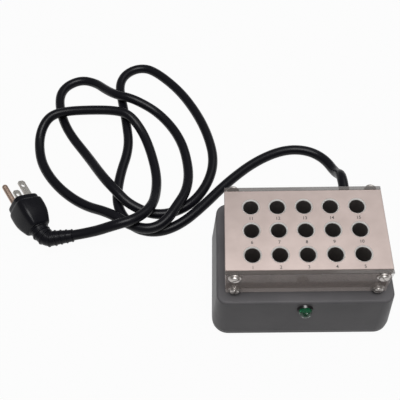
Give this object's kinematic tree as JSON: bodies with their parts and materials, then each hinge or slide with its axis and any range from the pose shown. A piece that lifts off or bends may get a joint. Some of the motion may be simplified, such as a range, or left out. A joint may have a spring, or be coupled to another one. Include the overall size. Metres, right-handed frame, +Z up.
{
  "type": "dry bath incubator",
  "caption": "Bench dry bath incubator: a bored aluminium heating block for sample tubes, with clear end guards, on a small cast base with a pilot lamp and a coiled mains cord",
  "frame": {"origin": "on the standing surface, under the middle of the instrument without its cord", "axes": "+Z up, -Y towards the front face with the pilot lamp, +X to the right seen from the front"},
  "size_m": [0.3151, 0.2849, 0.0835],
  "materials": {
    "grey_casting": "satin grey paint on a cast shell",
    "block_aluminium": "milled aluminium, fine matt",
    "clear_plastic": "clear acrylic sheet with polished edges",
    "bright_steel": "nickel-plated screws and washers",
    "zinc_steel": "zinc-plated steel",
    "sheath_steel": "stainless sheath",
    "seal_fibre": "dark heat-resistant gasket sheet",
    "bush_plastic": "dark moulded phenolic",
    "stem_brass": "turned brass",
    "blade_brass": "nickel-plated brass contacts",
    "bezel_metal": "black-chromed ring",
    "green_lens": "faceted green transparent lens",
    "bulb_glass": "small glass bulb",
    "black_rubber": "black rubber",
    "cord_rubber": "glossy black vinyl jacket"
  },
  "bodies": {
    "instrument": {"housing": "grey_casting", "bottom_cover": "grey_casting", "rubber_feet": "black_rubber", "cover_screws": "zinc_steel", "well_block": "block_aluminium", "block_seal": "seal_fibre", "insulating_bushes": "bush_plastic", "block_screws": "zinc_steel", "front_guard": "clear_plastic", "rear_guard": "clear_plastic", "front_guard_screws": "bright_steel", "rear_guard_screws": "bright_steel", "front_guard_washers": "bright_steel", "rear_guard_washers": "bright_steel", "heater_cartridges": "sheath_steel", "thermostat": "bush_plastic", "thermostat_screws": "zinc_steel", "thermal_cutout": "sheath_steel", "cutout_clip": "zinc_steel", "clip_screw": "zinc_steel", "terminal_block": "bush_plastic", "terminal_screws": "stem_brass", "terminal_mount_screws": "zinc_steel", "lamp_bezel": "bezel_metal", "lamp_jewel": "green_lens", "lamp_nut": "zinc_steel", "lamp_bulb": "bulb_glass", "strain_relief": "cord_rubber", "power_cord": "cord_rubber", "plug_relief": "cord_rubber", "plug_body": "cord_rubber", "plug_blades": "blade_brass", "plug_earth_pin": "blade_brass"},
    "adjusting_stem": {"adjusting_stem": "stem_brass"}
  },
  "joints": [
    {"name": "thermostat_adjustment", "type": "hinge", "parent": "instrument", "child": "adjusting_stem", "pos_m": [-0.02, 0.045, 0.0265], "axis": [0, 1, 0], "range_deg": [-135, 135]}
  ]
}
